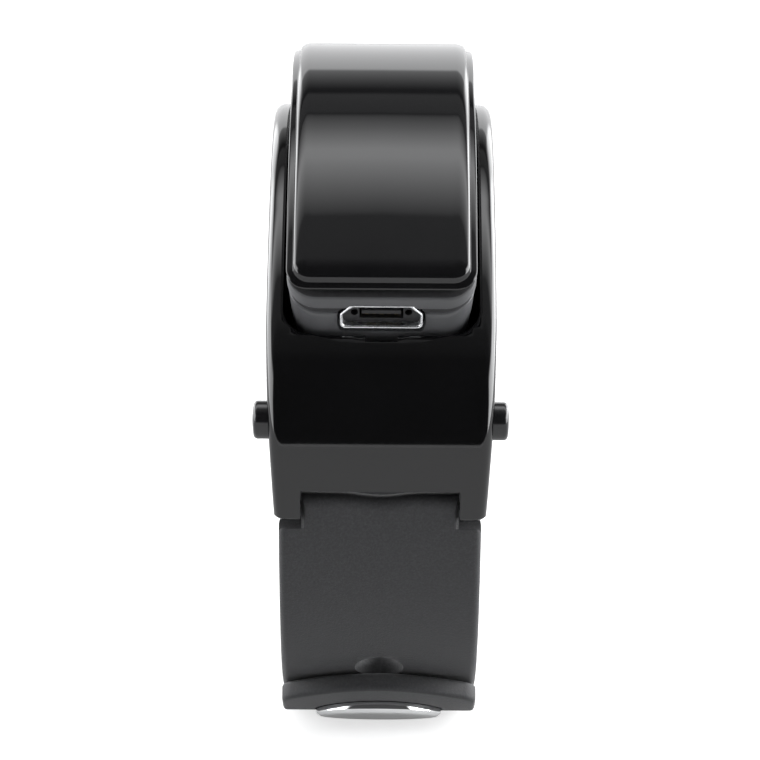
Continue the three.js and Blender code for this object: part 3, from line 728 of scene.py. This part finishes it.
def cradle_section(outer, inner, outer_normal, inner_normal, shrink):
    """Cross-section ring: outer face, rounded rims, side faces, inner face."""
    outer, inner = Vector(outer) - outer_normal * shrink, Vector(inner) + inner_normal * shrink
    wide_out = cradle_half_width(outer.y) - shrink
    wide_in = cradle_half_width(inner.y) - shrink
    right = [(wide_out * k, outer) for k in (0.0, 0.3, 0.6, 0.8)]
    right.append((wide_out - RIM_OUT * 1.12, outer))
    for a in ramp(0, math.pi / 2, 7):
        down = RIM_OUT * (1 - math.cos(a))
        right.append((wide_out - RIM_OUT + RIM_OUT * math.sin(a), outer - outer_normal * down))
    side_top, side_base = outer - outer_normal * RIM_OUT, inner + inner_normal * RIM_IN
    for t in (0.1, 0.5, 0.9):
        right.append((wide_out + (wide_in - wide_out) * t, side_top.lerp(side_base, t)))
    for a in ramp(math.pi / 2, 0, 5):
        up = RIM_IN * (1 - math.cos(a))
        right.append((wide_in - RIM_IN + RIM_IN * math.sin(a), inner + inner_normal * up))
    right += [(wide_in * k, inner) for k in (0.8, 0.6, 0.3, 0.0)]
    left = [(-x, p) for x, p in reversed(right[1:-1])]
    return [Vector((x, p.x, p.y)) for x, p in right + left]


def pocket_cutter():
    """Space for the module: its own rounded outline, grown a little, open upwards."""
    base = MODULE_BASE_R - 0.3
    levels = [
        (base, 0.6, 0.6), (base + 0.15, 0.1, 0.4), (base + 0.6, -0.32, 0.2), (38.0, -0.35, 0.2),
        (46.0, -0.35, 0.2)]
    return plate("cutter", module_rim(MODULE_HALF, 2.4), levels, place_on_arc)


def cradle():
    """Carrier swept over its side view, with its feet rounded, then cut for module, straps and buttons."""
    pairs = cradle_path()
    outers, inners = [p[0] for p in pairs], [p[1] for p in pairs]
    outer_normals, inner_normals = curve_normals(outers), curve_normals(inners)
    rings = []
    last = len(pairs) - 1
    for k, (outer, inner) in enumerate(pairs):
        if k in (0, last):
            continue
        rings.append(cradle_section(outer, inner, outer_normals[k], inner_normals[k], 0.0))
    for k, end in ((0, 0), (last, None)):
        for a in (25, 50, 75, 90):
            shrink = FOOT_ROUND * (1 - math.cos(math.radians(a)))
            down = FOOT_ROUND * (1 - math.sin(math.radians(a)))
            ring = cradle_section(pairs[k][0], pairs[k][1], outer_normals[k], inner_normals[k], shrink)
            ring = [p + Vector((0, 0, down)) for p in ring]
            if end == 0:
                rings.insert(0, ring)
            else:
                rings.append(ring)
    obj = stacked("cradle_body", rings)
    tools = [pocket_cutter()]
    for sy in (-1, 1):
        ys = sorted((sy * 26, sy * 36))
        tools.append(block("cutter", (-NOTCH_HALF, NOTCH_HALF), ys, (CRADLE_FOOT_Z - 2, NOTCH_TOP_Z)))
    button_low, button_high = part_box("release_button_right")
    centre = (button_low + button_high) / 2 / MM
    for sx in (-1, 1):
        place = lambda a, b, h, sx=sx: Vector((sx * h, centre.y + a, centre.z + b))
        tools.append(rod_cutter(place, BUTTON_BORE_R, BUTTON_BORE_FROM_X, 14))
    face_top = CRADLE_WIDEST_Z + FACE_ARC_R * math.sin(FACE_ARC_TURN)
    tools.append(block(
        "cutter", (-THUMB_NOTCH_HALF, THUMB_NOTCH_HALF), (-28.7, -26), (face_top - 0.75, face_top + 3)))
    cut(obj, *tools)
    soften(obj, 0.14, 2)
    return finish(obj, "cradle", MATERIALS["gloss_black"], ["cradle_shell"], sharp=34)


def liner():
    """Wrist-side plate with rounded edges, screw recesses and a raised flat pad."""
    inner, outer, middle_r = LINER_INNER_R, CRADLE_INNER_R - 0.3, 29
    half_width = high("cradle_liner").x

    def outline(level):
        inset = level[1]
        corner = LINER_CORNER - inset
        return rounded_rim(half_width - inset, LINER_HALF_ANGLE - inset / middle_r, corner, corner / middle_r)

    levels = [
        (inner, 0.5), (inner + 0.03, 0.3), (inner + 0.12, 0.12), (inner + 0.3, 0), (outer - 0.1, 0),
        (outer, 0.1)]
    obj = plate("liner_plate", outline, levels, place_on_arc)
    angle, x = LINER_SCREW
    cut(obj, *[
        rod_cutter(radial_place(sy * angle, sx * x), 1.1, inner - 1, inner + 0.55)
        for _, sx, sy in SCREW_SPOTS])
    soften(obj, 0.06)
    finish(obj, "cradle", MATERIALS["liner_plastic"], ["cradle_liner"])

    pad_at, _ = mount("wrist_pad")
    face = pad_at.z
    levels = [(face, 0.45), (face + 0.04, 0.25), (face + 0.15, 0.08), (face + 0.3, 0), (face + 0.9, 0)]
    pad = plate(
        "wrist_pad", lambda level: rounded_rim(5 - level[1], 6 - level[1], 1.6, 1.6, 20, 8, 10), levels,
        lambda x, s, level: Vector((x, s, level[0])))
    finish(pad, "cradle", MATERIALS["liner_plastic"])


def button(side, sx):
    """Round release button with a softly rounded, slightly domed tip."""
    node = f"release_button_{side}"
    centre = (low(node) + high(node)) / 2
    tip = high("release_button_right").x
    radius = (high(node).y - low(node).y) / 2
    profile = [(0.0, tip - 2.3), (radius - 0.1, tip - 2.3), (radius, tip - 2.2), (radius, tip - 0.55)]
    edge = 0.42
    profile += [
        (radius - edge * (1 - math.cos(a)), tip - 0.55 + edge * math.sin(a))
        for a in ramp(0.2, math.pi / 2, 8)]
    profile += [(radius * 0.5, tip - 0.06), (radius * 0.2, tip - 0.01), (0.0, tip)]
    place = lambda a, b, h: Vector((sx * h, centre.y + a, centre.z + b))
    obj = spun(f"button_{side}", profile, 48, place)
    return finish(obj, f"button_{side}", button_plastic, [node])


# ---------------------------------------------------------------- straps
def on_ring(x, degrees, radius):
    """Point on the strap ring; angle from straight down, positive towards the port end."""
    angle = math.radians(degrees)
    return Vector((x, -radius * math.sin(angle), RING_Z - radius * math.cos(angle)))


def strap_frame(degrees):
    """Flat frame square to the strap at an angle: x across, along towards the port end, then outwards."""
    angle = math.radians(degrees)
    out = Vector((0, -math.sin(angle), -math.cos(angle)))
    along = Vector((0, -math.cos(angle), math.sin(angle)))
    centre = Vector((0, 0, RING_Z))
    return lambda x, s, h: centre + Vector((x, 0, 0)) + along * s + out * h


TONGUE_HALF = 6.87
TONGUE_END = math.degrees(math.atan2(-HINGE.y, RING_Z - HINGE.z)) + 2.4
PER_MM = math.degrees(1 / 32.0)
STRAP_STEPS = 110


def tip_curve(half_width, sagitta, corner, count=40):
    """Half of a shallow rounded tip, from (half width, 0) to (0, sagitta), with a rounded corner."""
    points = []
    for i in range(count + 1):
        x = half_width * math.cos(math.pi / 2 * i / count)
        arc = sagitta * (1 - (x / half_width) ** 2)
        edge = max(1 - ((max(x - half_width + corner, 0)) / corner) ** 2, 0.0) ** 0.5
        points.append((x, arc + corner * edge))
    return points


def strap_rim(half_width, sign, tip_angle, sagitta, corner):
    """Outline of a strap from its hinge tongue to its tip. Angles are measured so that the hinge is at
    sign * TONGUE_END and the tip at tip_angle; a level is (share of thickness, inset, tongue inset)."""

    def outline(level):
        share, inset, tongue_inset = level
        w, tongue = half_width - inset, TONGUE_HALF - tongue_inset
        barrel = 1.05 * (1 - math.sqrt(max(0.0, 1 - (2 * share - 1) ** 2)))
        dip = math.sin(math.pi * share) * SHOULDER_DIP
        shoulder = SHOULDER - max(inset - 0.3, 0) * PER_MM * 0.5 - dip
        end = TONGUE_END - barrel * PER_MM
        tip = sign * tip_angle + inset * PER_MM
        curve = tip_curve(w, sagitta, corner)
        reach = curve[-1][1]
        start = tip + reach * PER_MM
        points = [(w, a) for a in ramp(shoulder, start, STRAP_STEPS)]
        points += [(x, start - rise * PER_MM) for x, rise in curve[1:]]
        points += [(-x, start - rise * PER_MM) for x, rise in reversed(curve[1:-1])]
        points += [(-w, a) for a in ramp(start, shoulder, STRAP_STEPS)]
        points += [(-tongue, a) for a in ramp(shoulder, end, 5)]
        for x in ramp(-tongue, tongue, 24)[1:-1]:
            hollow = 0.32 * math.cos(min(abs(x) / 3.6, 1) * math.pi / 2) ** 2
            points.append((x, end - hollow * PER_MM))
        points += [(tongue, a) for a in ramp(end, shoulder, 5)]
        return [(x, sign * a) for x, a in points]

    return outline


def eased_radii(degrees, lap):
    """Inner and outer radius at an angle: from the shoulders' to those of the lapped bottom."""
    t = 1 - smooth(abs(degrees), LAP_ANGLE, SHOULDER)
    return [a + (b - a) * t for a, b in zip(SHOULDER_RADII, lap)]


FRONT_LEVELS = [
    (0.0, 0.5, 0.15), (0.01, 0.36, 0.05), (0.05, 0.18, -0.05), (0.12, 0.05, -0.13), (0.22, 0.0, -0.15),
    (0.66, 0.0, -0.15), (0.78, 0.04, 0.0), (0.87, 0.13, 0.02), (0.94, 0.27, 0.06), (0.98, 0.43, 0.13),
    (1.0, 0.62, 0.25),
]
REAR_LEVELS = [
    (0.0, 0.32, 0.15), (0.01, 0.2, 0.05), (0.05, 0.08, -0.05), (0.12, 0.02, -0.13), (0.2, 0.0, -0.15),
    (0.78, 0.0, -0.15),
    (0.87, 0.03, 0.0), (0.93, 0.09, 0.02), (0.97, 0.17, 0.06), (0.99, 0.25, 0.13), (1.0, 0.36, 0.25),
]


def oval_cutter(degrees, half_x, half_s, start, stop, sides=40):
    place = strap_frame(degrees)
    turns = full_turn(sides)
    rings = [[place(half_x * math.cos(a), half_s * math.sin(a), h) for a in turns] for h in (start, stop)]
    return stacked("cutter", rings)


def front_band():
    """The inner strap, with its row of holes."""
    outline = strap_rim(STRAP_HALF, 1, FRONT_END_ANGLE, 5.5, 3.0)

    def place(x, s, level):
        inner, outer = eased_radii(s, FRONT_LAP_RADII)
        return on_ring(x, s, inner + (outer - inner) * level[0])

    obj = plate("front_band", outline, FRONT_LEVELS, place, 0.02)
    holes = [oval_cutter(CLASP_ANGLE + HOLE_STEP * (1 - i), *HOLE_HALF, 28, 35) for i in range(HOLE_COUNT)]
    cut(obj, *holes)
    soften(obj, 0.14, 2, 50)
    return finish(obj, "front_strap", MATERIALS["soft_touch"], ["front_strap"], sharp=40)


def rear_band():
    """The outer strap and its flap in one length, stepped outwards where it laps over the inner strap."""
    outline = strap_rim(STRAP_HALF, -1, TIP_ANGLE, 3.1, 0.9)

    def place(x, s, level):
        inner, outer = eased_radii(s, REAR_LAP_RADII)
        return on_ring(x, s, inner + (outer - inner) * level[0])

    obj = plate("rear_band", outline, REAR_LEVELS, place, 0.02)
    seat = oval_cutter(CLASP_ANGLE, *(half + CAP_SEAT_GAP for half in CAP_HALF), 33.5, 38)
    stem = oval_cutter(CLASP_ANGLE, STEM_HALF, STEM_HALF, 30, 34.5)
    cut(obj, seat, stem)
    soften(obj, 0.06, 1, 60)
    finish(obj, None, MATERIALS["soft_touch"], ["rear_strap", "rear_strap_end"], sharp=40)
    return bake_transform(obj)


def clasp():
    """Oval cap with a bevelled edge, and the peg behind it."""
    place = strap_frame(CLASP_ANGLE)

    def oval_rim(level):
        inset = level[1]
        return [((CAP_HALF[0] - inset) * math.cos(a), (CAP_HALF[1] - inset) * math.sin(a))
                for a in full_turn(96)]

    top = CAP_TOP_R
    levels = [(33.65, 0.3), (33.67, 0.08), (33.72, 0.03), (33.8, 0.0), (top - 0.34, 0.0),
              (top - 0.3, 0.03), (top - 0.07, 0.32), (top - 0.04, 0.42), (top - 0.02, 0.7),
              (top, 1.5), (top, 2.2)]
    cap = plate("clasp_oval", oval_rim, levels, lambda x, s, level: place(x, s, level[0]), 0.5)
    finish(cap, "clasp_end", MATERIALS["chrome"], ["clasp_cap"], sharp=24)
    peg_profile = [(0.0, 30.35), (1.3, 30.35), (1.6, 30.45), (1.65, 30.65), (1.6, 30.9), (1.45, 31.1),
                   (1.45, 32.5), (1.35, 32.6), (0.0, 32.6)]
    peg = spun("clasp_post", peg_profile, 40, place)
    finish(peg, "clasp_end", MATERIALS["steel"], ["clasp_peg"])


cover()
upper_case()
groove_painted_shade()
seam_band()
lower_case()
port()
for spot_name, sx, sy in SCREW_SPOTS:
    screw(f"case_screw_{spot_name}", "module", (sy * MODULE_SCREW[0], sx * MODULE_SCREW[1]), 32.0, 0.95,
          f"module_screw_{spot_name}")
    screw(f"plate_screw_{spot_name}", "cradle", (sy * LINER_SCREW[0], sx * LINER_SCREW[1]), 28.5, 0.85,
          f"liner_screw_{spot_name}")
cradle()
liner()
button("left", -1)
button("right", 1)
front_band()
rear_band()
clasp()

# ---------------------------------------------------------------- floor, light and camera
FLOOR_HALF = 1.2
floor_mesh = bpy.data.meshes.new("floor")
floor_mesh.from_pydata(
    [(-FLOOR_HALF, -FLOOR_HALF, 0), (FLOOR_HALF, -FLOOR_HALF, 0), (FLOOR_HALF, FLOOR_HALF, 0),
     (-FLOOR_HALF, FLOOR_HALF, 0)], [], [(0, 1, 2, 3)])
floor = bpy.data.objects.new("floor", floor_mesh)
scene.collection.objects.link(floor)
floor_paint, floor_nodes, floor_links, floor_shader = node_material("floor_paint")
floor_shader.inputs["Base Color"].default_value = (0.62, 0.62, 0.62, 1)
floor_shader.inputs["Roughness"].default_value = 0.9
floor_shader.inputs["Specular IOR Level"].default_value = 0.1
floor_shader.inputs["Emission Color"].default_value = (1, 1, 1, 1)
floor_shader.inputs["Emission Strength"].default_value = 0.12
white_paint = floor_nodes.new("ShaderNodeEmission")
white_paint.inputs["Strength"].default_value = 0.55
seen = floor_nodes.new("ShaderNodeLightPath")
share_seen = floor_nodes.new("ShaderNodeMixShader")
both = floor_nodes.new("ShaderNodeAddShader")
floor_links.new(floor_shader.outputs["BSDF"], both.inputs[0])
floor_links.new(white_paint.outputs["Emission"], both.inputs[1])
floor_links.new(seen.outputs["Is Camera Ray"], share_seen.inputs["Fac"])
floor_links.new(floor_shader.outputs["BSDF"], share_seen.inputs[1])
floor_links.new(both.outputs["Shader"], share_seen.inputs[2])
floor_output = next(n for n in floor_nodes if n.type == "OUTPUT_MATERIAL")
floor_links.new(share_seen.outputs["Shader"], floor_output.inputs["Surface"])
floor.data.materials.append(floor_paint)


# Light from straight behind at 0 degrees, over the top at 90, to straight in front at 180.
SWEEP_PEAK = 4.4
SWEEP = [
    (0, 1.5), (27.0, 1.8), (28.4, 0.7), (40.5, 0.06), (42.3, 0.06), (43.8, 0.25), (52.6, 0.24), (53.3, 0.1),
    (54.6, 0.5), (60, 1.3), (64.5, 2.3), (68.8, 3.35), (72, 3.45), (78.3, 2.65), (91.3, 0.75), (92.8, 0.38),
    (105.5, 0.34), (110.5, 0.17), (123, 0.07), (180, 0.06),
]


def studio_world():
    """Soft studio surround: pale backdrop behind, soft box overhead, pale panels aside, dark front."""
    world = bpy.data.worlds.new("studio")
    scene.world = world
    world.use_nodes = True
    nodes, links = world.node_tree.nodes, world.node_tree.links
    coords = nodes.new("ShaderNodeTexCoord")
    axes = nodes.new("ShaderNodeSeparateXYZ")
    links.new(coords.outputs["Generated"], axes.inputs["Vector"])

    def math_node(operation, *values):
        node = nodes.new("ShaderNodeMath")
        node.operation = operation
        for i, value in enumerate(values):
            if isinstance(value, (int, float)):
                node.inputs[i].default_value = value
            else:
                links.new(value, node.inputs[i])
        return node.outputs["Value"]

    def step(value, start, end):
        node = nodes.new("ShaderNodeMapRange")
        node.interpolation_type = "SMOOTHSTEP"
        node.inputs["From Min"].default_value = start
        node.inputs["From Max"].default_value = end
        links.new(value, node.inputs["Value"])
        return node.outputs["Result"]

    x, y, z = axes.outputs["X"], axes.outputs["Y"], axes.outputs["Z"]
    turn = math_node("MULTIPLY", math_node("ARCTAN2", z, y), 1 / math.pi)
    sweep = nodes.new("ShaderNodeValToRGB")
    links.new(turn, sweep.inputs["Fac"])
    stops = sweep.color_ramp.elements
    while len(stops) < len(SWEEP):
        stops.new(1.0)
    for stop, (degrees, light) in zip(stops, SWEEP):
        stop.position = degrees / 180
        stop.color = (light / SWEEP_PEAK, light / SWEEP_PEAK, light / SWEEP_PEAK, 1)
    overhead = math_node("MULTIPLY", sweep.outputs["Color"], SWEEP_PEAK)
    near_side = math_node("MULTIPLY", step(math_node("ABSOLUTE", x), 0.28, 0.38), 0.4)
    far_side = math_node("MULTIPLY", step(math_node("ABSOLUTE", x), 0.56, 0.66), 0.6)
    aside = math_node("ADD", near_side, far_side)
    low_enough = math_node("SUBTRACT", 1.0, step(z, 0.42, 0.62))
    behind = step(y, -0.55, -0.35)
    panels = math_node("MULTIPLY", math_node("MULTIPLY", aside, low_enough), behind)
    warmer_side = math_node("ADD", 7.0, math_node("MULTIPLY", x, 2.0))
    total = math_node("ADD", overhead, math_node("MULTIPLY", panels, warmer_side))
    surround = nodes["Background"]
    links.new(total, surround.inputs["Strength"])
    surround.inputs["Color"].default_value = (0.985, 0.99, 1.0, 1)
    plain = nodes.new("ShaderNodeBackground")
    plain.inputs["Strength"].default_value = 1.1
    ray = nodes.new("ShaderNodeLightPath")
    mix = nodes.new("ShaderNodeMixShader")
    links.new(ray.outputs["Is Camera Ray"], mix.inputs["Fac"])
    links.new(surround.outputs["Background"], mix.inputs[1])
    links.new(plain.outputs["Background"], mix.inputs[2])
    links.new(mix.outputs["Shader"], nodes["World Output"].inputs["Surface"])


studio_world()

CAMERA_DISTANCE = 0.4
CAMERA_ELEVATION = math.radians(18)
CAMERA_ROLL = math.radians(0.4)
camera_data = bpy.data.cameras.new("camera")
camera = bpy.data.objects.new("camera", camera_data)
scene.collection.objects.link(camera)
target = Vector((0, 0, 0.0315))
back = Vector((0, -math.cos(CAMERA_ELEVATION), math.sin(CAMERA_ELEVATION)))
camera.location = target + back * CAMERA_DISTANCE
camera.rotation_mode = "QUATERNION"
roll = Matrix.Rotation(CAMERA_ROLL, 4, back).to_quaternion()
camera.rotation_quaternion = roll @ back.to_track_quat("Z", "Y")
camera_data.sensor_width = 36
camera_data.lens = 197.1
camera_data.shift_x = -0.0013
camera_data.shift_y = -0.001
camera_data.clip_start = 0.01
scene.camera = camera
scene.view_settings.view_transform = "Standard"
scene.view_settings.look = "None"
